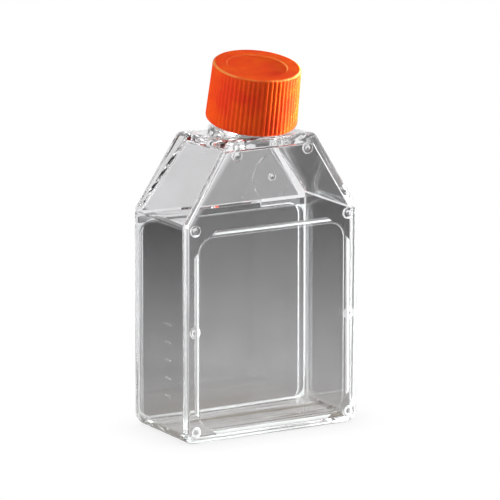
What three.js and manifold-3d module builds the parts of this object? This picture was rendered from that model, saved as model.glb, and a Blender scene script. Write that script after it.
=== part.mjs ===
// A 25 cm2 rectangular cell culture flask with a canted neck and a ribbed screw cap, standing on its end.
//
// Frame: millimetres, +Z up. The origin is the middle of the base end. X runs across the width. The front
// face, towards which the neck leans, is at -Y, and the growth face is at +Y.
//
// The flask is two clear mouldings: an open-backed shell with the neck, and a flat growth plate welded into
// its back. The cap is one ribbed moulding with an internal thread, over a plug seal that seats in the bore.

import * as THREE from "three";
import { mergeVertices } from "three/addons/utils/BufferGeometryUtils.js";
import Module from "manifold-3d";

const wasm = await Module();
wasm.setup();

// ---------------------------------------------------------------- driving dimensions

// Body
const WIDTH = 49;
const DEPTH = 25.4;
const SHOULDER_Z = 54.5; // where the narrow sides start to slope in
const TOP_Z = 74.3; // at the front
const TOP_FALL = 1.6; // drop of the top from the front to the back
const TOP_WIDTH = 24.5;
const WALL = 1.4; // front face and ramp
const SIDE_WALL = 1.5; // narrow sides and base
const TOP_WALL = 2.6;
const FIN_WALL = 2.9;
const CORNER_R = 3; // base corners, in the large face's outline
const SHOULDER_R = 2.5;
const TOP_CORNER_R = 2.6;
const EDGE_R = 1; // rounding between the large faces and the narrow sides
const BACK_TOP_R = 2.4; // rounded tips of the fins beside the ramp
const FRONT_TOP_R = 1.6;
const RAMP_LEAN = THREE.MathUtils.degToRad(11);
const RAMP_CORNER_R = 1.7; // inside corners between the ramp and the narrow sides

// Growth plate: as wide as the body, with a shallow window inside a raised rim
const PLATE_WALL = 1.4;
const PLATE_TOP_Z = 52.6;
const SEAM = 0.06; // gap between parts that are welded or pressed together
const WINDOW_HALF = 21.7;
const WINDOW_LOW_Z = 0.9;
const WINDOW_HIGH_Z = 51.6;
const WINDOW_R = 3;
const WINDOW_DEPTH = 0.4;
const WINDOW_EDGE = 0.36; // hollow rounding between the window and its rim
const PAD_HEIGHT = 0.6; // step on the plate's inner side that fits between the walls
const PAD_EDGE = 0.4;
const PAD_GAP = 0.25;
const RIM_GAP_HALF = 10.9; // the rim is left out across the middle of the ramp's foot
const RIM_TOP_Z = 53.4;

// Neck, which leans towards the front
const CANT = THREE.MathUtils.degToRad(11.7);
const NECK_Y = -1.97; // a point of the neck's axis, at the top face
const NECK_Z = 73.6;
const NECK_LENGTH = 14.9;
const BORE_R = 7;
const NECK_R = 8.5;
const BEAD_R = 9.6;
const FLARE_R = 10.4;
const LIP = 0.5;

// Thread, right-handed, single start
const LEAD = 3.4;
const THREAD_R = 9.35; // crest on the neck
const THREAD_FOOT = 1.5; // width at the root
const THREAD_CREST = 0.7;
const NECK_THREAD_START = 5.2;
const NECK_THREAD_TURNS = 1.8;
const CAP_THREAD_R = 8.95;
const CAP_THREAD_START = 7.6;
const CAP_THREAD_TURNS = 1.3;
const STEPS_PER_TURN = 36;

// Cap, with heights measured along the neck's axis from the top face
const CAP_BASE = 3.04;
const CAP_HEIGHT = 14.44;
const CAP_R = 11.27; // over the ribs at the open end
const CAP_TOP_R = 10.85;
const CAP_BORE_R = 9.75;
const CAP_TOP_WALL = 1.5;
const CAP_EDGE_R = 0.6;
const CAP_FOOT_R = 0.8;
const RIBS = 60;
const RIB_DEPTH = 0.34;
const RECESS_R = 7.2;
const RECESS_DEPTH = 0.4;

// Plug seal
const SEAL_R = 9.4;
const SEAL_THICK = 1;
const PLUG_R = 6.75;
const PLUG_BORE_R = 5.8;
const PLUG_LENGTH = 2.6;
const SEAL_BEAD_R = 9.15; // ring inside the cap that holds the seal in

// Rails, studs and moulding marks on the front face
const FRAME_HALF = 20.4;
const FRAME_LOW_Z = 3.3;
const FRAME_HIGH_Z = 51.2;
const FRAME_R = 4;
const FRAME_LINE = 0.4;
const FRAME_HEIGHT = 0.22;
const RAIL_WIDTH = 0.75;
const RAIL_HEIGHT = 0.55;
const RAIL_EDGE = 0.4;
const RAIL_OUT = 1; // centre line of a rail, outside the frame line
const STUD_R = 1.5;
const STUD_HEIGHT = 0.4;
const STUD_SPOTS = [
  [21.7, 3.1],
  [21.7, 28],
  [21.5, 53.1],
  [9.9, 70.5],
];
const GATE_Z = 64.4;
const GATE_R = 1.05;
const GATE_RING_R = 5.4;

// Volume marks on the narrow side
const MARK_LOW_Z = 10.8;
const MARK_STEP = 4.5;
const MARKS = 5;
const MARK_LENGTH = 2.4;
const MARK_Y = -4.5;

const CLEAR = 40; // reach of a cutting block past what it cuts
const FULL_TURN = Math.PI * 2;

// ---------------------------------------------------------------- solids

function solid(geometry) {
  const bare = geometry.index ? geometry.toNonIndexed() : geometry.clone();
  bare.deleteAttribute("normal");
  bare.deleteAttribute("uv");
  const merged = mergeVertices(bare, 1e-4);
  return new wasm.Manifold(
    new wasm.Mesh({
      numProp: 3,
      vertProperties: new Float32Array(merged.attributes.position.array),
      triVerts: new Uint32Array(merged.index.array),
    }),
  );
}

function geometryOf(made) {
  const { vertProperties, triVerts } = made.getMesh();
  const geometry = new THREE.BufferGeometry();
  geometry.setAttribute("position", new THREE.BufferAttribute(vertProperties, 3));
  geometry.setIndex(new THREE.BufferAttribute(triVerts, 1));
  geometry.computeVertexNormals();
  return geometry;
}

function joined(solids) {
  return solids.reduce((whole, next) => whole.add(next));
}

// A closed outline with a true arc of its own radius at each corner.
function roundedShape(corners, radii) {
  const shape = new THREE.Shape();
  corners.forEach((corner, i) => {
    const before = corners.at(i - 1);
    const after = corners[(i + 1) % corners.length];
    const inward = before.clone().sub(corner).normalize();
    const outward = after.clone().sub(corner).normalize();
    const half = Math.acos(inward.dot(outward)) / 2;
    const centre = inward.clone().add(outward).normalize();
    centre.multiplyScalar(radii[i] / Math.sin(half)).add(corner);
    const start = inward.multiplyScalar(radii[i] / Math.tan(half)).add(corner).sub(centre);
    const end = outward.multiplyScalar(radii[i] / Math.tan(half)).add(corner).sub(centre);
    shape.absarc(centre.x, centre.y, radii[i], start.angle(), end.angle(), false);
  });
  shape.closePath();
  return shape;
}

// Moves each side of a counter-clockwise outline inwards by its own distance.
function insetCorners(corners, distances) {
  const sides = corners.map((corner, i) => {
    const along = corners[(i + 1) % corners.length].clone().sub(corner).normalize();
    const inwards = new THREE.Vector2(-along.y, along.x);
    return { point: corner.clone().addScaledVector(inwards, distances[i]), along };
  });
  return sides.map((side, i) => {
    const before = sides.at(i - 1);
    const gap = side.point.clone().sub(before.point);
    const share = gap.cross(side.along) / before.along.cross(side.along);
    return before.point.clone().addScaledVector(before.along, share);
  });
}

// Extrudes an outline drawn in X and Z through the depth, from y = low to y = high.
function throughDepth(shape, low, high, edge = 0) {
  const geometry = new THREE.ExtrudeGeometry(shape, {
    depth: high - low - 2 * edge,
    curveSegments: 5,
    bevelEnabled: edge > 0,
    bevelThickness: edge,
    bevelSize: edge,
    bevelOffset: -edge,
    bevelSegments: 3,
  });
  return solid(geometry.rotateX(Math.PI / 2).translate(0, high - edge, 0));
}

// Extrudes an outline drawn in Y and Z across the width.
function acrossWidth(shape, width) {
  const geometry = new THREE.ExtrudeGeometry(shape, { depth: width, curveSegments: 5, bevelEnabled: false });
  const turned = geometry.rotateX(Math.PI / 2).rotateZ(Math.PI / 2);
  return solid(turned.translate(-width / 2, 0, 0));
}

function polygon(points) {
  return new THREE.Shape(points.map(([x, y]) => new THREE.Vector2(x, y)));
}

// Turns a profile of [radius, height] points round +Z.
function turned(profile, segments) {
  const points = profile.map(([radius, height]) => new THREE.Vector2(radius, height));
  return new THREE.LatheGeometry(points, segments).rotateX(Math.PI / 2);
}

// Points of a quarter round between two directions, for a profile.
function arcPoints(radius, height, r, from, to, steps) {
  return Array.from({ length: steps + 1 }, (_, i) => {
    const angle = from + ((to - from) * i) / steps;
    return [radius + r * Math.cos(angle), height + r * Math.sin(angle)];
  });
}

// ---------------------------------------------------------------- the body's outline

const BODY_CORNERS = [
  [-WIDTH / 2, 0],
  [WIDTH / 2, 0],
  [WIDTH / 2, SHOULDER_Z],
  [TOP_WIDTH / 2, TOP_Z],
  [-TOP_WIDTH / 2, TOP_Z],
  [-WIDTH / 2, SHOULDER_Z],
].map(([x, z]) => new THREE.Vector2(x, z));
const BODY_RADII = [CORNER_R, CORNER_R, SHOULDER_R, TOP_CORNER_R, TOP_CORNER_R, SHOULDER_R];

function bodyShape(side, top) {
  const corners = insetCorners(BODY_CORNERS, [side, side, side, top, side, side]);
  const radii = BODY_RADII.map((r) => Math.max(r - side, 0.8));
  return roundedShape(corners, radii);
}

function roundedRectangle(half, low, high, radius) {
  const corners = [[-half, low], [half, low], [half, high], [-half, high]];
  return roundedShape(corners.map(([x, z]) => new THREE.Vector2(x, z)), Array(4).fill(radius));
}

// Lowers everything above the shoulder, more so towards the back.
function fallingBack(made) {
  const geometry = geometryOf(made);
  const position = geometry.attributes.position;
  for (let i = 0; i < position.count; i += 1) {
    const z = position.getZ(i);
    const rise = Math.max(0, (z - SHOULDER_Z) / (TOP_Z - SHOULDER_Z));
    const back = (position.getY(i) + DEPTH / 2) / DEPTH;
    position.setZ(i, z - TOP_FALL * rise * back);
  }
  return solid(geometry);
}

// ---------------------------------------------------------------- the leaning axis

const NECK_FOOT = new THREE.Vector3(0, NECK_Y, NECK_Z);

// Takes a solid made round +Z onto the neck's axis.
function onNeck(geometry) {
  return geometry.rotateX(CANT).translate(...NECK_FOOT);
}

// The side view of all that lies behind the ramp, at a distance behind its inner face.
function behindRamp(offset, lowZ) {
  const innerFoot = DEPTH / 2 - PLATE_WALL;
  const lineY = (z) => innerFoot + offset / Math.cos(RAMP_LEAN) - (z - PLATE_TOP_Z) * Math.tan(RAMP_LEAN);
  const highZ = TOP_Z + CLEAR;
  const back = DEPTH / 2 + CLEAR;
  return polygon([[lineY(lowZ), lowZ], [back, lowZ], [back, highZ], [lineY(highZ), highZ]]);
}

// ---------------------------------------------------------------- flask shell

function bodyBlock() {
  const block = throughDepth(bodyShape(0, 0), -DEPTH / 2, DEPTH / 2, EDGE_R);
  const corners = [
    [-DEPTH / 2, 0],
    [DEPTH / 2, 0],
    [DEPTH / 2, TOP_Z],
    [-DEPTH / 2, TOP_Z],
  ].map(([y, z]) => new THREE.Vector2(y, z));
  const sideView = roundedShape(corners, [EDGE_R / 2, EDGE_R / 2, BACK_TOP_R, FRONT_TOP_R]);
  return fallingBack(block.intersect(acrossWidth(sideView, WIDTH + CLEAR)));
}

function chamber() {
  const outline = bodyShape(SIDE_WALL, TOP_WALL);
  const inside = throughDepth(outline, WALL - DEPTH / 2, DEPTH / 2 + EDGE_R, EDGE_R / 2);
  return fallingBack(inside).subtract(acrossWidth(behindRamp(0, PLATE_TOP_Z), WIDTH + CLEAR));
}

function rampPocket() {
  const inside = throughDepth(bodyShape(FIN_WALL, -TOP_WALL), -DEPTH / 2, DEPTH / 2 + EDGE_R);
  return fallingBack(inside).intersect(acrossWidth(behindRamp(WALL, RIM_TOP_Z), WIDTH + CLEAR));
}

// Fills the corner between the ramp and one narrow side with a hollow rounding, from the shoulder up.
function rampCorner(side) {
  const r = RAMP_CORNER_R;
  const fall = TOP_FALL / (TOP_Z - SHOULDER_Z);
  const sideSlope = (TOP_WIDTH - WIDTH) / 2 / (TOP_Z - SHOULDER_Z) / (1 - fall);
  const x = WIDTH / 2 - SIDE_WALL * Math.hypot(1, sideSlope);
  const y = DEPTH / 2 - PLATE_WALL - (SHOULDER_Z - PLATE_TOP_Z) * Math.tan(RAMP_LEAN);
  const section = new THREE.Shape();
  section.moveTo(side * (x + r / 4), y + r / 4);
  section.lineTo(side * (x + r / 4), y - r).lineTo(side * x, y - r);
  section.absarc(side * (x - r), y - r, r, side > 0 ? 0 : Math.PI, Math.PI / 2, side < 0);
  section.lineTo(side * (x - r), y + r / 4);
  const depth = TOP_Z - TOP_WALL - SHOULDER_Z;
  const geometry = new THREE.ExtrudeGeometry(section, { depth, curveSegments: 5, bevelEnabled: false });
  const position = geometry.attributes.position;
  for (let i = 0; i < position.count; i += 1) {
    const rise = position.getZ(i);
    const slidX = position.getX(i) + side * sideSlope * rise;
    const slidY = position.getY(i) - Math.tan(RAMP_LEAN) * rise;
    position.setXYZ(i, slidX, slidY, SHOULDER_Z + rise);
  }
  return solid(geometry);
}

// All that the growth plate takes the place of, with the seam round it.
function plateSeat() {
  return throughDepth(plateBounds(PLATE_TOP_Z), DEPTH / 2 - PLATE_WALL, DEPTH / 2 + CLEAR);
}

function plateBounds(high) {
  const half = WIDTH / 2 + CLEAR;
  return polygon([[-half, -CLEAR], [half, -CLEAR], [half, high], [-half, high]]);
}

// The shallow window in the back, with the break in its rim at the ramp's foot.
function backWindow() {
  const low = DEPTH / 2 - WINDOW_DEPTH;
  const high = DEPTH / 2 + CLEAR;
  const outline = roundedRectangle(WINDOW_HALF, WINDOW_LOW_Z, WINDOW_HIGH_Z, WINDOW_R);
  const window = throughDepth(outline, low, high, WINDOW_EDGE);
  const lowZ = WINDOW_HIGH_Z - WINDOW_R;
  const gap = [
    [-RIM_GAP_HALF, lowZ],
    [RIM_GAP_HALF, lowZ],
    [RIM_GAP_HALF, RIM_TOP_Z],
    [-RIM_GAP_HALF, RIM_TOP_Z],
  ];
  return window.add(throughDepth(polygon(gap), low, high));
}

function neckProfile() {
  return [
    [0, -TOP_WALL],
    [FLARE_R, -TOP_WALL],
    [FLARE_R, 0],
    [BEAD_R, 0.9],
    ...arcPoints(BEAD_R - 0.3, 1.5, 0.3, 0, Math.PI / 2, 2),
    [NECK_R, 2.3],
    ...arcPoints(NECK_R - LIP, NECK_LENGTH - LIP, LIP, 0, Math.PI / 2, 3),
    [0, NECK_LENGTH],
  ];
}

// A ridge of trapezium section, wound round +Z. Its height fades in and out over the first and last steps.
// "out" is +1 for a ridge that stands outwards from its foot, and -1 for one that stands inwards.
function ridge(footR, crestR, turns, startZ) {
  const out = Math.sign(crestR - footR);
  const sunk = 0.3;
  const section = polygon([
    [0, -THREAD_FOOT / 2],
    [1, -THREAD_CREST / 2],
    [1, THREAD_CREST / 2],
    [0, THREAD_FOOT / 2],
  ]);
  const steps = Math.round(turns * STEPS_PER_TURN);
  const geometry = new THREE.ExtrudeGeometry(section, { depth: 1, steps, bevelEnabled: false });
  const position = geometry.attributes.position;
  for (let i = 0; i < position.count; i += 1) {
    const share = position.getZ(i);
    const fade = THREE.MathUtils.clamp(Math.min(share, 1 - share) * turns * 6, 0, 1);
    const height = (crestR - footR) * fade + out * sunk * (1 - fade) * 0.2;
    const radius = footR - out * sunk + position.getX(i) * (height + out * sunk);
    const angle = share * turns * FULL_TURN;
    const z = startZ - out * position.getY(i) + share * turns * LEAD;
    position.setXYZ(i, radius * Math.cos(angle), radius * Math.sin(angle), z);
  }
  return geometry;
}

function neck() {
  const tube = solid(onNeck(turned(neckProfile(), 64)));
  const thread = solid(onNeck(ridge(NECK_R, THREAD_R, NECK_THREAD_TURNS, NECK_THREAD_START)));
  return tube.add(thread);
}

function bore() {
  const profile = [
    [0, -TOP_WALL * 3],
    [BORE_R + 1.2, -TOP_WALL * 3],
    [BORE_R, -TOP_WALL],
    [BORE_R, NECK_LENGTH - LIP],
    [BORE_R + LIP / 2, NECK_LENGTH + 0.1],
    [0, NECK_LENGTH + 0.1],
  ];
  return solid(onNeck(turned(profile, 64)));
}

// ---------------------------------------------------------------- marks on the front face

// Sets a shape drawn in X and Z on the front face, standing out by a height.
function onFront(shape, height, edge) {
  return throughDepth(shape, -DEPTH / 2 - height, -DEPTH / 2 + WALL / 2, edge);
}

function frameLine() {
  const outline = (grow) =>
    roundedRectangle(FRAME_HALF + grow, FRAME_LOW_Z - grow, FRAME_HIGH_Z + grow, FRAME_R + grow);
  const band = outline(FRAME_LINE / 2);
  band.holes.push(outline(-FRAME_LINE / 2));
  return onFront(band, FRAME_HEIGHT, FRAME_LINE / 3);
}

// A straight rail from one point to another, with ends that slope back towards the frame line.
function rail(fromX, fromZ, toX, toZ) {
  const from = new THREE.Vector2(fromX, fromZ);
  const to = new THREE.Vector2(toX, toZ);
  const along = to.clone().sub(from).normalize();
  const inwards = new THREE.Vector2(-along.y, along.x);
  const corner = (end, ahead, side) =>
    end.clone().addScaledVector(along, ahead).addScaledVector(inwards, side);
  return onFront(
    new THREE.Shape([
      corner(from, RAIL_WIDTH, -RAIL_WIDTH / 2),
      corner(to, -RAIL_WIDTH, -RAIL_WIDTH / 2),
      corner(to, RAIL_WIDTH / 2, RAIL_WIDTH / 2 + FRAME_LINE / 2),
      corner(from, -RAIL_WIDTH / 2, RAIL_WIDTH / 2 + FRAME_LINE / 2),
    ]),
    RAIL_HEIGHT,
    RAIL_EDGE,
  );
}

function rails() {
  const out = RAIL_OUT;
  const endX = FRAME_HALF - FRAME_R;
  const lowZ = FRAME_LOW_Z + FRAME_R;
  const highZ = FRAME_HIGH_Z - FRAME_R;
  const sideX = FRAME_HALF + out;
  return joined([
    rail(-endX, FRAME_LOW_Z - out, endX, FRAME_LOW_Z - out),
    rail(endX, FRAME_HIGH_Z + out, -endX, FRAME_HIGH_Z + out),
    rail(sideX, lowZ, sideX, highZ),
    rail(-sideX, highZ, -sideX, lowZ),
  ]);
}

// A low round stud with a dimple in its middle.
function stud(x, z, radius, height) {
  const foot = -WALL / 2;
  const profile = [
    [0, foot],
    [radius, foot],
    [radius, height * 0.6],
    [radius * 0.8, height],
    [radius * 0.55, height],
    [radius * 0.35, height * 0.5],
    [0, height * 0.4],
  ];
  return solid(turned(profile, 20).rotateX(Math.PI / 2).translate(x, -DEPTH / 2, z));
}

function studs() {
  const pair = ([x, z]) => [-1, 1].map((side) => stud(side * x, z, STUD_R, STUD_HEIGHT));
  return joined(STUD_SPOTS.flatMap(pair));
}

function gateMark() {
  const ring = new THREE.Shape().absarc(0, GATE_Z, GATE_RING_R + 0.15, 0, FULL_TURN, false);
  ring.holes.push(new THREE.Path().absarc(0, GATE_Z, GATE_RING_R - 0.15, 0, FULL_TURN, true));
  const depth = WALL / 2 + 0.12;
  const made = new THREE.ExtrudeGeometry(ring, { depth, curveSegments: 20, bevelEnabled: false });
  const band = solid(made.rotateX(Math.PI / 2).translate(0, (WALL - DEPTH) / 2, 0));
  return band.add(stud(0, GATE_Z, GATE_R, STUD_HEIGHT / 2));
}

// Short raised bars at equal steps of volume, on the narrow side at -X.
function volumeMarks() {
  const marks = Array.from({ length: MARKS }, (_, i) => {
    const bar = new THREE.BoxGeometry(SIDE_WALL, MARK_LENGTH, 0.4);
    return solid(bar.translate(SIDE_WALL / 2 - WIDTH / 2 - 0.15, MARK_Y, MARK_LOW_Z + i * MARK_STEP));
  });
  return joined(marks);
}

function flaskShell() {
  const outside = bodyBlock().add(neck());
  const tray = outside.subtract(chamber()).subtract(rampPocket()).subtract(backWindow());
  const rounded = tray.add(rampCorner(-1)).add(rampCorner(1));
  const open = rounded.subtract(plateSeat()).subtract(bore());
  return open.add(frameLine()).add(rails()).add(studs()).add(gateMark()).add(volumeMarks());
}

// ---------------------------------------------------------------- growth plate

function growthPlate() {
  const face = DEPTH / 2 - PLATE_WALL + SEAM;
  const slab = bodyBlock().intersect(throughDepth(plateBounds(PLATE_TOP_Z - SEAM), face, DEPTH / 2 + CLEAR));
  const inset = SIDE_WALL + PAD_GAP;
  const high = PLATE_TOP_Z - SEAM - WALL;
  const padShape = roundedRectangle(WIDTH / 2 - inset, inset, high, CORNER_R - PAD_GAP);
  const pad = throughDepth(padShape, face - PAD_HEIGHT, face + WALL / 4, PAD_EDGE);
  return slab.add(pad).subtract(backWindow());
}

// ---------------------------------------------------------------- cap

const CAP_TOP = CAP_BASE + CAP_HEIGHT;
const CAP_CEILING = CAP_TOP - CAP_TOP_WALL;

function capRadius(height) {
  return THREE.MathUtils.mapLinear(height, CAP_BASE, CAP_TOP, CAP_R, CAP_TOP_R);
}

function capProfile() {
  const foot = CAP_BASE + CAP_FOOT_R;
  const shoulder = CAP_TOP - CAP_EDGE_R;
  return [
    [0, CAP_BASE],
    ...arcPoints(capRadius(CAP_BASE) - CAP_FOOT_R, foot, CAP_FOOT_R, -Math.PI / 2, 0, 3),
    [capRadius(shoulder) - 0.02, shoulder - 0.8],
    ...arcPoints(capRadius(shoulder) - CAP_EDGE_R, shoulder, CAP_EDGE_R, 0, Math.PI / 2, 3),
    [RECESS_R + RECESS_DEPTH, CAP_TOP],
    [RECESS_R, CAP_TOP - RECESS_DEPTH],
    [0, CAP_TOP - RECESS_DEPTH],
  ];
}

// Three columns of points to each rib: two on its crest and one in the groove beside it.
function ribbedCap() {
  const columns = RIBS * 3;
  const geometry = turned(capProfile(), columns);
  const position = geometry.attributes.position;
  const fadeLow = CAP_BASE + CAP_FOOT_R / 2;
  const fadeHigh = CAP_TOP - CAP_EDGE_R;
  for (let i = 0; i < position.count; i += 1) {
    const radius = Math.hypot(position.getX(i), position.getY(i));
    const column = Math.round((Math.atan2(position.getY(i), position.getX(i)) / FULL_TURN + 1) * columns);
    const inGroove = column % 3 === 0;
    const height = position.getZ(i);
    const ribbed = height > fadeLow && height < fadeHigh + 0.1 && radius > CAP_BORE_R;
    const share = inGroove && ribbed ? (radius - RIB_DEPTH) / radius : 1;
    position.setXY(i, position.getX(i) * share, position.getY(i) * share);
  }
  return solid(onNeck(geometry));
}

function capBore() {
  const beadZ = CAP_CEILING - SEAL_THICK - 2 * SEAM;
  const profile = [
    [0, CAP_BASE - 1],
    [CAP_BORE_R + 0.3, CAP_BASE - 1],
    [CAP_BORE_R + 0.3, CAP_BASE + 0.2],
    [CAP_BORE_R, CAP_BASE + 0.8],
    [CAP_BORE_R, beadZ - 1.2],
    [SEAL_BEAD_R, beadZ - 0.6],
    [SEAL_BEAD_R, beadZ - 0.3],
    [CAP_BORE_R, beadZ],
    [CAP_BORE_R, CAP_CEILING],
    [0, CAP_CEILING],
  ];
  return solid(onNeck(turned(profile, 64)));
}

// The cap's ridge lies between the turns of the neck's thread.
function screwCap() {
  const thread = solid(onNeck(ridge(CAP_BORE_R, CAP_THREAD_R, CAP_THREAD_TURNS, CAP_THREAD_START)));
  return ribbedCap().subtract(capBore()).add(thread);
}

// ---------------------------------------------------------------- plug seal

function plugSeal() {
  const top = CAP_CEILING - SEAM;
  const under = top - SEAL_THICK;
  const profile = [
    [0, under],
    [PLUG_BORE_R, under],
    [PLUG_BORE_R + 0.2, under - PLUG_LENGTH + 0.3],
    [PLUG_BORE_R + 0.45, under - PLUG_LENGTH],
    [PLUG_R - 0.3, under - PLUG_LENGTH + 0.2],
    [PLUG_R, under - PLUG_LENGTH / 2],
    [PLUG_R - 0.1, under],
    [SEAL_R, under],
    [SEAL_R, top],
    [0, top],
  ];
  return solid(onNeck(turned(profile, 48)));
}

// ---------------------------------------------------------------- the scene graph

const clearPlastic = { color: 0xeef1f2, roughness: 0.05, metalness: 0, transparent: true, opacity: 0.35 };
const orangePlastic = { color: 0xe8481c, roughness: 0.35, metalness: 0 };
const whitePlastic = { color: 0xe9e8e2, roughness: 0.5, metalness: 0 };

function piece(name, made, material) {
  const mesh = new THREE.Mesh(geometryOf(made), new THREE.MeshStandardMaterial(material));
  mesh.name = name;
  return mesh;
}

const flask = new THREE.Group();
flask.add(
  piece("flask_shell", flaskShell(), clearPlastic),
  piece("growth_plate", growthPlate(), clearPlastic),
  piece("plug_seal", plugSeal(), whitePlastic),
  piece("screw_cap", screwCap(), orangePlastic),
);

export default flask;
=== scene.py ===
"""A small clear cell culture flask with an orange ribbed screw cap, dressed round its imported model."""

import logging
import math
from dataclasses import dataclass, field
from enum import Enum

import bpy
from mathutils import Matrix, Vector


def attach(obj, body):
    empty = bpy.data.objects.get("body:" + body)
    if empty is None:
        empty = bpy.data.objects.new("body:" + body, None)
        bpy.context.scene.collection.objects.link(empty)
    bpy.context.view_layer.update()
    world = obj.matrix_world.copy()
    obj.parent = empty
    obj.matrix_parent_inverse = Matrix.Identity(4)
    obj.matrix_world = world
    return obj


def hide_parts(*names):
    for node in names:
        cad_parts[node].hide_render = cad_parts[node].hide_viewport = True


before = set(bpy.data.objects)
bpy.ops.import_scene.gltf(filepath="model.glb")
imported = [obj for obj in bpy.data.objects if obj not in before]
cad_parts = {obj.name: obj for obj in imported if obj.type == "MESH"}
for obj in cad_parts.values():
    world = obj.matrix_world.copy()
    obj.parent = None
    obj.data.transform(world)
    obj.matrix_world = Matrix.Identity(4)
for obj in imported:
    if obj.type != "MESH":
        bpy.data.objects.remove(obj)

LOG = logging.getLogger("flask")
MM = 0.001
SAME_CORNER = 0.5e-6  # corners nearer than this, in metres, become one
SAME_PLANE = math.radians(0.4)  # faces that turn by less than this become one
FULL_WEIGHT = 100  # a round's normals follow the largest face beside it
COLOUR_MIX = (0, 6, 7)  # a colour Mix node's inputs for the share and for both colours
COLOUR_MIXED = 2
NUMBER_MIX = (0, 2, 3)  # a number Mix node's inputs for the share and for both numbers
NUMBER_MIXED = 0
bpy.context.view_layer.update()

Socket = bpy.types.NodeSocket
Span = tuple[float, float]
Triple = tuple[float, float, float]
Screen = tuple[int, int, int]
Linear = tuple[float, float, float, float]

WHITE: Linear = (1.0, 1.0, 1.0, 1.0)


def linear(red: int, green: int, blue: int) -> Linear:
    """Turns an 8-bit screen colour into a linear one.

    Args:
        red: Red, 0 to 255.
        green: Green, 0 to 255.
        blue: Blue, 0 to 255.

    Returns:
        The linear colour with full alpha.
    """

    def channel(value: int) -> float:
        """One channel of the colour, made linear."""
        share = value / 255
        return share / 12.92 if share <= 0.04045 else ((share + 0.055) / 1.055) ** 2.4

    return channel(red), channel(green), channel(blue), 1.0


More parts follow.
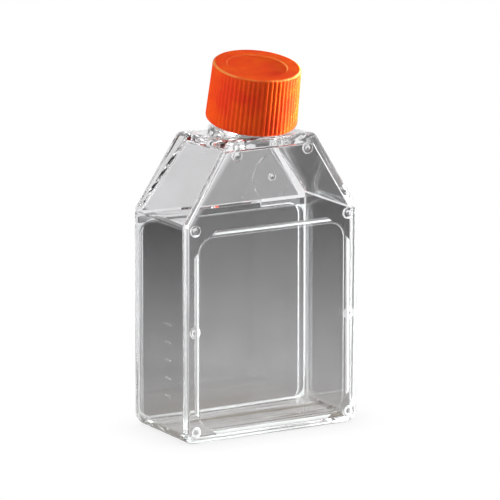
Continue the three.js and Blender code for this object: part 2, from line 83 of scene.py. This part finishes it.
class NodeBench:
    """A node tree, with short calls for the nodes that the finishes and the world share."""

    def __init__(self, owner: bpy.types.Material | bpy.types.World, ending: str) -> None:
        """Empties the owner's tree but for its output.

        Args:
            owner: The material or world.
            ending: The output node's type, without the ShaderNode prefix.
        """
        owner.use_nodes = True
        self.owner = owner
        self.tree = owner.node_tree
        self.tree.nodes.clear()
        self.output = self.add(ending)

    @classmethod
    def material(cls, name: str) -> "NodeBench":
        """Starts a new material of the given name."""
        return cls(bpy.data.materials.new(name), "OutputMaterial")

    def finish(self, shader: Socket) -> bpy.types.Material | bpy.types.World:
        """Ends the tree with a shader.

        Args:
            shader: What every ray meets.

        Returns:
            The tree's owner.
        """
        self.feed(self.output.inputs["Surface"], shader)
        return self.owner

    def add(self, kind: str, **values: object) -> bpy.types.Node:
        """Adds a node.

        Args:
            kind: The node's type, without the ShaderNode prefix.
            **values: Properties of the node.

        Returns:
            The new node.
        """
        node = self.tree.nodes.new(f"ShaderNode{kind}")
        for name, value in values.items():
            setattr(node, name, value)
        return node

    def feed(self, entry: Socket, value: Socket | float | tuple[float, ...]) -> None:
        """Links a socket into an input, or sets the input's own value.

        Args:
            entry: The input.
            value: A socket, or a plain value.
        """
        if isinstance(value, Socket):
            self.tree.links.new(value, entry)
        else:
            entry.default_value = value

    def place(self, stretch: Triple = (1, 1, 1)) -> Socket:
        """The piece's own coordinates.

        Args:
            stretch: How much each axis is multiplied by.

        Returns:
            A vector socket.
        """
        mapping = self.add("Mapping")
        self.feed(mapping.inputs["Scale"], stretch)
        self.feed(mapping.inputs["Vector"], self.add("TexCoord").outputs["Object"])
        return mapping.outputs["Vector"]

    def noise(self, cells: float, octaves: float, stretch: Triple = (1, 1, 1)) -> Socket:
        """Noise over the piece.

        Args:
            cells: Noise cells in a metre.
            octaves: Octaves of finer noise.
            stretch: How much each axis is multiplied by first.

        Returns:
            The noise's factor.
        """
        node = self.add("TexNoise")
        self.feed(node.inputs["Scale"], cells)
        self.feed(node.inputs["Detail"], octaves)
        self.feed(node.inputs["Vector"], self.place(stretch))
        return node.outputs["Fac"]

    def spread(self, source: Socket, low: float, high: float, start: float = 0, end: float = 1) -> Socket:
        """Maps a value from one range to another, held at its ends.

        Args:
            source: The value.
            low: What start becomes.
            high: What end becomes.
            start: The lower end of the source's range.
            end: The upper end of the source's range.

        Returns:
            The mapped value.
        """
        node = self.add("MapRange")
        self.feed(node.inputs["Value"], source)
        for name, value in zip(("From Min", "From Max", "To Min", "To Max"), (start, end, low, high)):
            self.feed(node.inputs[name], value)
        return node.outputs["Result"]

    def band(self, value: Socket, span: Span, soft: float) -> Socket:
        """Marks a span of one measure.

        Args:
            value: The measure, in metres.
            span: Where the span starts and ends, in millimetres.
            soft: How far outside the span the mark fades out, in metres.

        Returns:
            1 in the span and 0 away from it.
        """
        start, end = span[0] * MM, span[1] * MM
        rise = self.spread(value, 0, 1, start - soft, start)
        fall = self.spread(value, 1, 0, end, end + soft)
        return self.maths("MULTIPLY", rise, fall)

    def maths(self, kind: str, *values: Socket | float) -> Socket:
        """One sum on numbers.

        Args:
            kind: The math node's operation.
            *values: Sockets or plain numbers, in the operation's order.

        Returns:
            The result.
        """
        node = self.add("Math", operation=kind)
        for entry, value in zip(node.inputs, values):
            self.feed(entry, value)
        return node.outputs[0]

    def vector(self, kind: str, *values: Socket | Triple) -> bpy.types.Node:
        """One sum on vectors.

        Args:
            kind: The vector math node's operation.
            *values: Sockets or plain vectors, in the operation's order.

        Returns:
            The node, with the result at its Vector or its Value output.
        """
        node = self.add("VectorMath", operation=kind)
        for entry, value in zip(node.inputs, values):
            self.feed(entry, value)
        return node

    def dot(self, source: Socket, axis: Triple) -> Socket:
        """How far a vector reaches along an axis of length 1."""
        return self.vector("DOT_PRODUCT", source, axis).outputs["Value"]

    def length(self, source: Socket) -> Socket:
        """A vector's length."""
        return self.vector("LENGTH", source).outputs["Value"]

    def blend(self, share: Socket, first: Socket | Linear, second: Linear) -> Socket:
        """A colour between two.

        Args:
            share: 0 for the first colour and 1 for the second.
            first: A linear colour, or a socket that gives one.
            second: A linear colour.

        Returns:
            The mixed colour.
        """
        node = self.add("Mix", data_type="RGBA")
        for entry, value in zip(COLOUR_MIX, (share, first, second)):
            self.feed(node.inputs[entry], value)
        return node.outputs[COLOUR_MIXED]

    def between(self, share: Socket, first: float, second: Socket) -> Socket:
        """A number between two.

        Args:
            share: 0 for the first number and 1 for the second.
            first: A number.
            second: A socket that gives a number.

        Returns:
            The mixed number.
        """
        node = self.add("Mix", data_type="FLOAT")
        for entry, value in zip(NUMBER_MIX, (share, first, second)):
            self.feed(node.inputs[entry], value)
        return node.outputs[NUMBER_MIXED]

    def bump(self, height: Socket, strength: float, depth: float) -> Socket:
        """Bumps the surface.

        Args:
            height: The relief, 0 to 1.
            strength: How much of the bump shows.
            depth: What a height of 1 stands for, in metres.

        Returns:
            The bumped normal.
        """
        node = self.add("Bump")
        for name, value in (("Height", height), ("Strength", strength), ("Distance", depth)):
            self.feed(node.inputs[name], value)
        return node.outputs["Normal"]

    def shader(self, kind: str, settings: dict[str, Socket | float | tuple[float, ...]]) -> Socket:
        """Adds a shader.

        Args:
            kind: The shader node's type, without the ShaderNode prefix.
            settings: For each input that is set, its name and its value or socket.

        Returns:
            The shader.
        """
        node = self.add(kind)
        for name, value in settings.items():
            self.feed(node.inputs[name], value)
        return node.outputs[0]

    def mix(self, share: Socket, first: Socket, second: Socket) -> Socket:
        """A mix of two shaders.

        Args:
            share: 0 for the first shader and 1 for the second.
            first: A shader.
            second: A shader.

        Returns:
            The mixed shader.
        """
        node = self.add("MixShader")
        for entry, value in zip(node.inputs, (share, first, second)):
            self.feed(entry, value)
        return node.outputs[0]

    def rays(self, kind: str) -> Socket:
        """1 for rays of one kind, such as Camera or Shadow, and 0 for others."""
        return self.add("LightPath").outputs[f"Is {kind} Ray"]


@dataclass(frozen=True)
class Mottle:
    """Noise that is mapped to a range of values.

    Attributes:
        cells: Noise cells in a metre.
        octaves: Octaves of finer noise.
        values: The value at the low end and at the high end.
        ends: The noise at the two ends.
        stretch: How much each axis is multiplied by first.
    """

    cells: float
    octaves: float
    values: Span = (0, 1)
    ends: Span = (0.35, 0.65)
    stretch: Triple = (1, 1, 1)

    def paint(self, bench: NodeBench) -> Socket:
        """Adds the mottle to a material and gives its value."""
        return bench.spread(bench.noise(self.cells, self.octaves, self.stretch), *self.values, *self.ends)


@dataclass(frozen=True)
class Relief:
    """Noise that is felt as a fine relief.

    Attributes:
        cells: Noise cells in a metre.
        octaves: Octaves of finer noise.
        strength: How much of the relief shows.
        depth: Its depth in metres.
        stretch: How much each axis is multiplied by first.
    """

    cells: float
    octaves: float
    strength: float
    depth: float
    stretch: Triple = (1, 1, 1)

    def paint(self, bench: NodeBench) -> Socket:
        """Adds the relief to a material and gives the bumped normal."""
        return bench.bump(bench.noise(self.cells, self.octaves, self.stretch), self.strength, self.depth)


@dataclass(frozen=True)
class Zone:
    """A box of the clear body, in millimetres.

    Attributes:
        across: Its span of distance from the middle of the width.
        back: Its span from the front to the back.
        up: Its span of height.
        share: How satin it is, from 0 to 1.
    """

    across: Span
    back: Span
    up: Span
    share: float = 1.0


@dataclass(frozen=True)
class ClearPlastic:
    """Clear moulded polystyrene: glossy, with the waves, flow lines and satin places that moulding leaves,
    and with brownish bands in its base that are a painted reflection of the bench.

    Attributes:
        name: The material's name.
        ior: Its refractive index.
        clear: Its colour.
        stain_and_bench_reflection: The colour of its clouds and of the brownish bands in its base, which are
            a painted reflection of the bench.
        lamp_share: The share of lamp light that passes.
        satin_roughness: The roughness of a place that is wholly satin.
        satin_white: How much such a place scatters light like a white one.
        zone_edge: How far outside its zone a mark fades out, in metres.
        satin_zones: In order, the weld that holds the growth plate on, the step round its window, the plate's
            outer edge, and whatever stands up from the front face.
        base: Where the satin flow lines and the painted brownish bands lie.
        white_streaks: How satin the base is, in flow lines across the width.
        bench_reflection_streaks: How strongly the base takes the painted reflection of the bench, in other
            bands across the width.
        cloud: How far any place is clouded towards the darker colour.
        smear: The roughness of a place that isn't satin.
        waves: The faint waves that a mould leaves.
    """

    name: str = "clear_polystyrene"
    ior: float = 1.59
    clear: Screen = (251, 251, 252)
    stain_and_bench_reflection: Screen = (128, 116, 104)
    lamp_share: float = 0.93
    satin_roughness: float = 0.6
    satin_white: float = 0.5
    zone_edge: float = 0.08 * MM
    satin_zones: tuple[Zone, ...] = (
        Zone((-1, 23.6), (11.25, 11.41), (0.9, 50.9), 0.6),
        Zone((-1, 22.2), (12.38, 12.64), (0.2, 52.2), 0.65),
        Zone((23.7, 25), (11.4, 13), (0.9, 52), 0.15),
        Zone((-1, 22.6), (-14, -13), (1, 52.2), 0.75),
    )
    base: Zone = Zone((-1, 25), (-13, 13), (-1, 1.6))
    white_streaks: Mottle = Mottle(420, 3, (0, 0.7), (0.53, 0.62), (0.07, 1, 1))
    bench_reflection_streaks: Mottle = Mottle(360, 3, (0.05, 1), (0.53, 0.62), (0.07, 1, 1))
    cloud: Mottle = Mottle(90, 3, (0, 0.06))
    smear: Mottle = Mottle(240, 4, (0, 0.03), (0.45, 0.75), (1, 1, 0.3))
    waves: Relief = Relief(55, 1, 0.35, 0.02 * MM, (1, 1, 0.45))

    def satin(self, bench: NodeBench) -> Socket:
        """Marks the places that are left satin: the satin zones and white flow lines in the base.

        Args:
            bench: The plastic's material.

        Returns:
            How satin the place is, from 0 to 1.
        """
        place = bench.place()
        depth, height = bench.dot(place, (0, 1, 0)), bench.dot(place, (0, 0, 1))
        width = bench.maths("ABSOLUTE", bench.dot(place, (1, 0, 0)))
        marks = [(zone, zone.share) for zone in self.satin_zones]
        marks.append((self.base, self.white_streaks.paint(bench)))
        satin = 0.0
        for zone, part in marks:
            for value, span in ((width, zone.across), (depth, zone.back), (height, zone.up)):
                part = bench.maths("MULTIPLY", part, bench.band(value, span, self.zone_edge))
            satin = bench.maths("MAXIMUM", satin, part)
        return satin

    def colour(self, bench: NodeBench) -> Socket:
        """The plastic's colour, with faint clouds and with brownish bands in the base that are a painted
        reflection of the bench.

        Args:
            bench: The plastic's material.

        Returns:
            The colour.
        """
        below = bench.band(bench.dot(bench.place(), (0, 0, 1)), self.base.up, self.zone_edge)
        # Brownish bands in the base: a painted reflection of the bench below.
        bench_reflection = bench.maths("MULTIPLY", below, self.bench_reflection_streaks.paint(bench))
        stain_and_reflection = bench.maths("MAXIMUM", self.cloud.paint(bench), bench_reflection)
        return bench.blend(stain_and_reflection, linear(*self.clear), linear(*self.stain_and_bench_reflection))

    def make(self) -> bpy.types.Material:
        """Makes the material.

        Returns:
            The material, which lamps shine through.
        """
        bench = NodeBench.material(self.name)
        satin = self.satin(bench)
        rough = bench.maths("MULTIPLY", satin, self.satin_roughness)
        plastic = bench.shader(
            "BsdfPrincipled",
            {
                "Base Color": self.colour(bench),
                "Roughness": bench.maths("MAXIMUM", self.smear.paint(bench), rough),
                "IOR": self.ior,
                "Transmission Weight": bench.spread(satin, 1, 1 - self.satin_white),
                "Normal": self.waves.paint(bench),
            },
        )
        share = self.lamp_share
        passed = bench.shader("BsdfTransparent", {"Color": (share, share, share, 1.0)})
        return bench.finish(bench.mix(bench.rays("Shadow"), plastic, passed))


@dataclass(frozen=True)
class CapPlastic:
    """Orange polyethylene: satin, with a little light scattered in it, and with painted highlights at the
    edges of its top.

    Attributes:
        name: The material's name.
        light: Its colour.
        deep: Its colour where it clouds.
        highlight_colour: The colour of the painted highlights at the edges of its top.
        ior: Its refractive index.
        scatter: How much light is scattered in it.
        scatter_reach: How far red, green and blue light spread in it, against each other.
        scatter_depth: How far red light spreads, in metres.
        cloud: How deep the colour is.
        rub: The roughness.
        highlight_variation: How strong the painted highlight rings are along their length.
        grain: The fine moulding grain.
        neck_point: A point on the neck's axis.
        neck_axis: The direction of that axis, of length 1.
        rings: The span of radius of each painted highlight ring, in millimetres.
        ring_edge: How far outside a ring its mark fades out, in metres.
        top_from: The height above neck_point, along the axis, from which the rings show.
        top_full: The height from which they show in full.
    """

    name: str = "orange_polyethylene"
    light: Screen = (230, 82, 30)
    deep: Screen = (220, 62, 34)
    highlight_colour: Screen = (255, 176, 96)
    ior: float = 1.5
    scatter: float = 0.25
    scatter_reach: Triple = (1.0, 0.25, 0.08)
    scatter_depth: float = 0.8 * MM
    cloud: Mottle = Mottle(160, 3)
    rub: Mottle = Mottle(500, 4, (0.28, 0.42))
    highlight_variation: Mottle = Mottle(130, 1, (0.1, 0.6), (0.45, 0.6))
    grain: Relief = Relief(2600, 2, 0.15, 0.03 * MM)
    neck_point: Triple = (0.0, -1.97 * MM, 73.6 * MM)
    neck_axis: Triple = (0.0, -0.202787, 0.979223)
    rings: tuple[Span, ...] = ((7.0, 7.5), (10.3, 10.75))
    ring_edge: float = 0.12 * MM
    top_from: float = 17.1 * MM
    top_full: float = 17.2 * MM

    def painted_highlight_rings(self, bench: NodeBench) -> Socket:
        """Marks the edges of the cap's top and of its recess, where highlights are painted into the colour.

        Args:
            bench: The plastic's material.

        Returns:
            How strongly the highlight is painted there, from 0 to 1.
        """
        offset = bench.vector("SUBTRACT", bench.place(), self.neck_point).outputs["Vector"]
        height = bench.dot(offset, self.neck_axis)
        squares = [bench.maths("MULTIPLY", value, value) for value in (bench.length(offset), height)]
        radius = bench.maths("SQRT", bench.maths("SUBTRACT", *squares))
        highlight_mask = 0.0
        for ring in self.rings:
            highlight_mask = bench.maths("MAXIMUM", highlight_mask, bench.band(radius, ring, self.ring_edge))
        on_top = bench.spread(height, 0, 1, self.top_from, self.top_full)
        return bench.maths("MULTIPLY", bench.maths("MULTIPLY", highlight_mask, self.highlight_variation.paint(bench)), on_top)

    def make(self) -> bpy.types.Material:
        """Makes the material.

        Returns:
            The material.
        """
        bench = NodeBench.material(self.name)
        body = bench.blend(self.cloud.paint(bench), linear(*self.light), linear(*self.deep))
        plastic = bench.shader(
            "BsdfPrincipled",
            {
                # Painted highlights: the base colour turns paler in rings at the edges of the top.
                "Base Color": bench.blend(self.painted_highlight_rings(bench), body, linear(*self.highlight_colour)),
                "Roughness": self.rub.paint(bench),
                "IOR": self.ior,
                "Specular IOR Level": 0.0,
                "Subsurface Weight": self.scatter,
                "Subsurface Radius": self.scatter_reach,
                "Subsurface Scale": self.scatter_depth,
                "Normal": self.grain.paint(bench),
            },
        )
        return bench.finish(plastic)


@dataclass(frozen=True)
class SealPlastic:
    """The plug seal's soft white polyethylene.

    Attributes:
        name: The material's name.
        light: Its colour.
        deep: Its colour where it clouds.
        cloud: How deep the colour is.
        rub: The roughness.
        grain: The fine moulding grain.
    """

    name: str = "white_polyethylene"
    light: Screen = (226, 224, 216)
    deep: Screen = (212, 210, 202)
    cloud: Mottle = Mottle(260, 3)
    rub: Mottle = Mottle(700, 3, (0.42, 0.58), (0, 1))
    grain: Relief = Relief(1800, 2, 0.2, 0.03 * MM)

    def make(self) -> bpy.types.Material:
        """Makes the material.

        Returns:
            The material.
        """
        bench = NodeBench.material(self.name)
        plastic = bench.shader(
            "BsdfPrincipled",
            {
                "Base Color": bench.blend(self.cloud.paint(bench), linear(*self.light), linear(*self.deep)),
                "Roughness": self.rub.paint(bench),
                "Normal": self.grain.paint(bench),
            },
        )
        return bench.finish(plastic)


def select_only(piece: bpy.types.Object) -> None:
    """Deselects everything, then selects one piece and makes it active.

    Args:
        piece: The piece.
    """
    bpy.ops.object.select_all(action="DESELECT")
    piece.select_set(True)
    bpy.context.view_layer.objects.active = piece


def welded_copy(node: str, name: str) -> bpy.types.Object:
    """Copies a CAD node's mesh into a piece of its own and joins its loose and its flat triangles.

    Args:
        node: The CAD node.
        name: The new piece's name.

    Returns:
        The new piece, active and selected.
    """
    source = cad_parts[node]
    piece = bpy.data.objects.new(name, source.data.copy())
    bpy.context.scene.collection.objects.link(piece)
    piece.data.materials.clear()
    select_only(piece)
    bpy.ops.object.mode_set(mode="EDIT")
    bpy.ops.mesh.select_all(action="SELECT")
    bpy.ops.mesh.remove_doubles(threshold=SAME_CORNER)
    bpy.ops.mesh.dissolve_limited(angle_limit=SAME_PLANE)
    bpy.ops.object.mode_set(mode="OBJECT")
    return piece


def even_shading(piece: bpy.types.Object, smooth_below: float) -> None:
    """Smooths the rounds and keeps each flat face flat up to its edge.

    Args:
        piece: The piece, which becomes the active one.
        smooth_below: Edges with a smaller angle than this, in radians, are smoothed.
    """
    select_only(piece)
    bpy.ops.object.shade_smooth_by_angle(angle=smooth_below)
    weighing = piece.modifiers.new("even", "WEIGHTED_NORMAL")
    weighing.mode = "FACE_AREA"
    weighing.weight = FULL_WEIGHT
    weighing.keep_sharp = True
    bpy.ops.object.modifier_apply(modifier=weighing.name)


@dataclass
class ClearBody:
    """The clear body: the moulded shell and the growth plate that closes its back.

    Attributes:
        finish: The plastic of both.
        smooth_below: Edges with a smaller angle than this, in radians, are smoothed.
    """

    finish: ClearPlastic = field(default_factory=ClearPlastic)
    smooth_below: float = math.radians(28)

    def build(self) -> list[bpy.types.Object]:
        """Builds and dresses both mouldings.

        Returns:
            The pieces.
        """
        material = self.finish.make()
        made = []
        for node, name, slot in (
            ("flask_shell", "shell_moulding", "clear_plastic"),
            ("growth_plate", "plate_moulding", "clear_plate"),
        ):
            piece = welded_copy(node, name)
            even_shading(piece, self.smooth_below)
            piece.data.materials.append(material)
            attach(piece, "flask")
            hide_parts(node)
            made.append(piece)
        return made


@dataclass
class Closure:
    """The screw cap and the plug seal that it carries.

    Attributes:
        cap_finish: The cap's plastic.
        seal_finish: The seal's plastic.
        smooth_below: Edges with a smaller angle than this, in radians, are smoothed.
    """

    cap_finish: CapPlastic = field(default_factory=CapPlastic)
    seal_finish: SealPlastic = field(default_factory=SealPlastic)
    smooth_below: float = math.radians(35)

    def build(self) -> list[bpy.types.Object]:
        """Builds and dresses the cap and its seal.

        Returns:
            The pieces.
        """
        cap = welded_copy("screw_cap", "cap_moulding")
        even_shading(cap, self.smooth_below)
        cap.data.materials.append(self.cap_finish.make())
        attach(cap, "cap")
        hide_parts("screw_cap")
        seal = welded_copy("plug_seal", "seal_moulding")
        even_shading(seal, self.smooth_below)
        seal.data.materials.append(self.seal_finish.make())
        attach(seal, "seal")
        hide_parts("plug_seal")
        return [cap, seal]


@dataclass(frozen=True)
class Lamp:
    """An area lamp that faces the flask.

    Attributes:
        place: Where it stands, in metres.
        size: Its width and height, in metres.
        power: Its power in watts.
        colour: Its colour.
        in_glass: Whether clear plastic shows it.
    """

    place: Triple
    size: Span
    power: float
    colour: Triple
    in_glass: bool


class Softbox(Enum):
    """The studio's lamps: three for what isn't clear, and two cards that clear plastic shows."""

    LEFT = Lamp((-0.42, 0.18, 0.10), (0.34, 0.36), 0.35, (1.0, 0.98, 0.97), False)
    RIGHT = Lamp((0.42, -0.09, 0.03), (0.10, 0.20), 25.0, (0.93, 1.0, 0.97), False)
    TOP = Lamp((0.30, -0.16, 0.40), (0.16, 0.16), 1.5, (0.92, 1.0, 1.0), False)
    CARD_LEFT = Lamp((-0.42, 0.10, 0.12), (0.36, 0.40), 1.7, (1.0, 0.98, 0.97), True)
    CARD_RIGHT = Lamp((0.435, -0.10, 0.10), (0.20, 0.40), 0.7, (1.0, 0.99, 0.96), True)


@dataclass(frozen=True)
class Edge:
    """A straight edge of a patch on the table.

    Attributes:
        inward: The x and y of the direction into the patch.
        start: How far along that direction the patch starts, in metres.
    """

    inward: Span
    start: float


@dataclass(frozen=True)
class Patch:
    """A paler patch of the table far behind the flask, which one of its leaning faces shows.

    Attributes:
        tone: Its grey.
        edges: Its straight edges.
        soft: The width over which it fades out, in metres.
    """

    tone: float
    edges: tuple[Edge, ...]
    soft: float = 4 * MM

    def paint(self, bench: NodeBench) -> Socket:
        """Adds the patch to the table.

        Args:
            bench: The table's material.

        Returns:
            The patch's tone, and 0 off it.
        """
        place = bench.place()
        tone = self.tone
        for edge in self.edges:
            reach = bench.dot(place, (*edge.inward, 0))
            inside = bench.spread(reach, 0, 1, edge.start - self.soft, edge.start)
            tone = bench.maths("MULTIPLY", tone, inside)
        return tone


@dataclass
class Table:
    """The table: white to the eye, and to clear plastic white with two graded grey runners.

    The runners' grey is palest near the flask and darkens outwards. One runner leads straight away from the
    camera, and the other lies where the flask's narrow side mirrors the table. Lengths are in metres.

    Attributes:
        azimuth: The camera's azimuth in degrees.
        radius: The table's radius.
        sides: The number of its sides.
        drop: How far it lies below the flask.
        near_grey: The runners' grey at the flask.
        fade: The distances from the flask at which the grey starts to darken and is black.
        fade_power: How much faster it darkens near the flask.
        open_tone: The table's white beside the runners.
        runner_half: Half a runner's width at the flask.
        runner_soft: The width over which its side fades out.
        runner_shift: How far each runner lies to the side of the flask's middle.
        runner_flare: How much half the width grows in a metre.
        runner_start: Where a runner fades in, measured along it from the flask's middle.
        warm: The table's tint right at the flask.
        warm_fade: The distances at which the tint starts to fade and is gone.
        contact_grey: The darkest tone of the contact shadow.
        contact_reach: How far the contact shadow reaches.
        contact_fade: The openness at which the shadow is darkest and is gone.
        contact_samples: Rays for each measure of openness.
        patches: The paler patches, for the flask's ramp and for its left slope.
    """

    azimuth: float
    radius: float = 0.55
    sides: int = 96
    drop: float = 0.05 * MM
    near_grey: float = 0.335
    fade: Span = (0.05, 0.29)
    fade_power: float = 1.5
    open_tone: float = 0.9
    runner_half: float = 0.038
    runner_soft: float = 0.012
    runner_shift: float = 0.008
    runner_flare: float = 0.07
    runner_start: Span = (-0.045, -0.025)
    warm: Screen = (255, 249, 241)
    warm_fade: Span = (0.02, 0.05)
    contact_grey: Screen = (238, 238, 238)
    contact_reach: float = 12 * MM
    contact_fade: Span = (0.2, 0.95)
    contact_samples: int = 16
    patches: tuple[Patch, ...] = (
        Patch(0.3, (Edge((0, 1), 0.234), Edge((1, -0.744), -0.056), Edge((-1, 0.426), -0.053))),
        Patch(0.85, (Edge((1, 0), 0.099), Edge((-1, 0.744), 0.056))),
    )

    def runner(self, bench: NodeBench, side: int) -> Socket:
        """How far the table belongs to one grey runner, which leads away from the flask.

        Args:
            bench: The table's material.
            side: 1 for the runner straight behind the flask, -1 for the one its narrow side mirrors.

        Returns:
            1 on the runner and 0 off it.
        """
        turn = math.radians(self.azimuth)
        along = (-side * math.sin(turn), math.cos(turn), 0)
        lengthwise = bench.dot(bench.place(), along)
        sideways = bench.dot(bench.place(), (along[1], -along[0], 0))
        crosswise = bench.maths("ABSOLUTE", bench.maths("ADD", sideways, side * self.runner_shift))
        room = bench.maths("MULTIPLY_ADD", lengthwise, -self.runner_flare, crosswise)
        inside = bench.spread(room, 1, 0, self.runner_half, self.runner_half + self.runner_soft)
        return bench.maths("MULTIPLY", inside, bench.spread(lengthwise, 0, 1, *self.runner_start))

    def shown_in_plastic(self, bench: NodeBench) -> Socket:
        """The table as clear plastic shows it.

        Args:
            bench: The table's material.

        Returns:
            The shader.
        """
        distance = bench.length(bench.place((1, 1, 0)))
        nearness = bench.spread(distance, 1, 0, *self.fade)
        shade = bench.maths("MULTIPLY", bench.maths("POWER", nearness, self.fade_power), self.near_grey)
        for patch in self.patches:
            shade = bench.maths("MAXIMUM", shade, patch.paint(bench))
        runners = bench.maths("MAXIMUM", self.runner(bench, 1), self.runner(bench, -1))
        tone = bench.between(runners, self.open_tone, shade)
        colour = bench.blend(bench.spread(distance, 0, 1, *self.warm_fade), linear(*self.warm), WHITE)
        return bench.shader("Emission", {"Strength": tone, "Color": colour})

    def shown_to_eye(self, bench: NodeBench) -> Socket:
        """The table as the camera sees it: white, with a faint contact shadow.

        Args:
            bench: The table's material.

        Returns:
            The shader.
        """
        contact = bench.add("AmbientOcclusion", samples=self.contact_samples)
        bench.feed(contact.inputs["Distance"], self.contact_reach)
        openness = bench.spread(contact.outputs["AO"], 0, 1, *self.contact_fade)
        colour = bench.blend(openness, linear(*self.contact_grey), WHITE)
        return bench.shader("Emission", {"Color": colour})

    def build(self) -> bpy.types.Object:
        """Builds the round table under the flask.

        Returns:
            The table.
        """
        bpy.ops.object.select_all(action="DESELECT")
        bpy.ops.mesh.primitive_circle_add(
            vertices=self.sides, radius=self.radius, fill_type="NGON", location=(0, 0, -self.drop)
        )
        table = bpy.context.active_object
        table.name = "table"
        bpy.ops.object.transform_apply(location=True, rotation=False, scale=False)
        bench = NodeBench.material("graded_table")
        shown = bench.mix(bench.rays("Camera"), self.shown_in_plastic(bench), self.shown_to_eye(bench))
        table.data.materials.append(bench.finish(shown))
        return table


@dataclass
class Studio:
    """The stage: the table, the world, the lamps and the camera.

    Attributes:
        aim: Where the camera and the lamps point, in metres.
        azimuth: The camera's turn about the upright, in degrees.
        elevation: The camera's height above the level, in degrees.
        distance: The camera's distance, in metres.
        lens: The camera's focal length, in millimetres.
        sensor: The camera's sensor width, in millimetres.
        sight: How far the camera sees, in metres.
        fill: The strength of the soft fill.
        ceiling_grey: The tone of the dark ceiling.
        ceiling_from: The upward share of a direction at which the ceiling starts and is darkest.
        flag_grey: The tone of the dark flags.
        flag_middle: The sideways share of a direction at which a flag has its middle.
        flag_half: Half a flag's width in that share.
        light_bounces: How often light may bounce, which clear walls behind each other need.
    """

    aim: Triple = (0.88 * MM, -0.51 * MM, 43.72 * MM)
    azimuth: float = -30.14
    elevation: float = 12.46
    distance: float = 1.2
    lens: float = 351.86
    sensor: float = 36
    sight: float = 10
    fill: float = 0.18
    ceiling_grey: float = 0.05
    ceiling_from: Span = (0.4, 0.62)
    flag_grey: float = 0.06
    flag_middle: float = 0.69
    flag_half: float = 0.09
    light_bounces: int = 48

    def world(self) -> None:
        """Makes the world.

        The camera sees it white. Clear plastic sees it white with a dark upright flag at each side and a dark
        ceiling. Everything else gets a soft fill from it.
        """
        world = bpy.data.worlds.new("studio")
        bpy.context.scene.world = world
        bench = NodeBench(world, "OutputWorld")
        direction = bench.add("TexCoord").outputs["Generated"]
        turn = math.radians(self.azimuth)
        across = bench.maths("ABSOLUTE", bench.dot(direction, (math.cos(turn), math.sin(turn), 0)))
        flag = bench.maths("COMPARE", across, self.flag_middle, self.flag_half)
        overhead = bench.spread(bench.dot(direction, (0, 0, 1)), 1, self.ceiling_grey, *self.ceiling_from)
        tone = bench.maths("MULTIPLY", bench.spread(flag, 1, self.flag_grey), overhead)
        soft = bench.shader("Background", {"Color": (self.fill, self.fill, self.fill, 1.0)})
        bent = bench.maths("MAXIMUM", bench.rays("Glossy"), bench.rays("Transmission"))
        shown = bench.mix(bent, soft, bench.shader("Background", {"Color": tone}))
        bench.finish(bench.mix(bench.rays("Camera"), shown, bench.shader("Background", {"Color": WHITE})))

    def lamps(self) -> None:
        """Makes one area lamp for each softbox, turned to the flask."""
        for box in Softbox:
            lamp = bpy.data.lights.new(box.name.lower(), "AREA")
            lamp.shape = "RECTANGLE"
            lamp.size, lamp.size_y = box.value.size
            lamp.energy = box.value.power
            lamp.color = box.value.colour
            stand = bpy.data.objects.new(box.name.lower(), lamp)
            stand.location = box.value.place
            towards = Vector(self.aim) - Vector(box.value.place)
            stand.rotation_euler = towards.to_track_quat("-Z", "Y").to_euler()
            stand.visible_camera = False
            stand.visible_glossy = stand.visible_transmission = box.value.in_glass
            bpy.context.scene.collection.objects.link(stand)

    def camera(self) -> None:
        """Makes the camera, which looks a little down on the flask's left front corner."""
        turn, tilt = math.radians(self.azimuth), math.radians(self.elevation)
        back = Vector((math.sin(turn) * math.cos(tilt), -math.cos(turn) * math.cos(tilt), math.sin(tilt)))
        data = bpy.data.cameras.new("camera")
        data.sensor_width = self.sensor
        data.lens = self.lens
        data.clip_end = self.sight
        camera = bpy.data.objects.new("camera", data)
        camera.location = Vector(self.aim) + back * self.distance
        camera.rotation_euler = (-back).to_track_quat("-Z", "Y").to_euler()
        bpy.context.scene.collection.objects.link(camera)
        bpy.context.scene.camera = camera

    def build(self) -> None:
        """Sets up the whole studio."""
        Table(self.azimuth).build()
        self.world()
        self.lamps()
        self.camera()
        scene = bpy.context.scene
        scene.view_settings.view_transform = "Standard"
        scene.cycles.max_bounces = self.light_bounces
        scene.cycles.glossy_bounces = self.light_bounces
        scene.cycles.transmission_bounces = self.light_bounces


def main() -> None:
    """Builds the flask and the studio, and reports each piece."""
    logging.basicConfig(level=logging.INFO, format="%(message)s")
    for assembly in (ClearBody(), Closure()):
        for piece in assembly.build():
            LOG.info("%s: %d faces", piece.name, len(piece.data.polygons))
    Studio().build()
    LOG.info("studio ready")


if __name__ == "__main__":
    main()
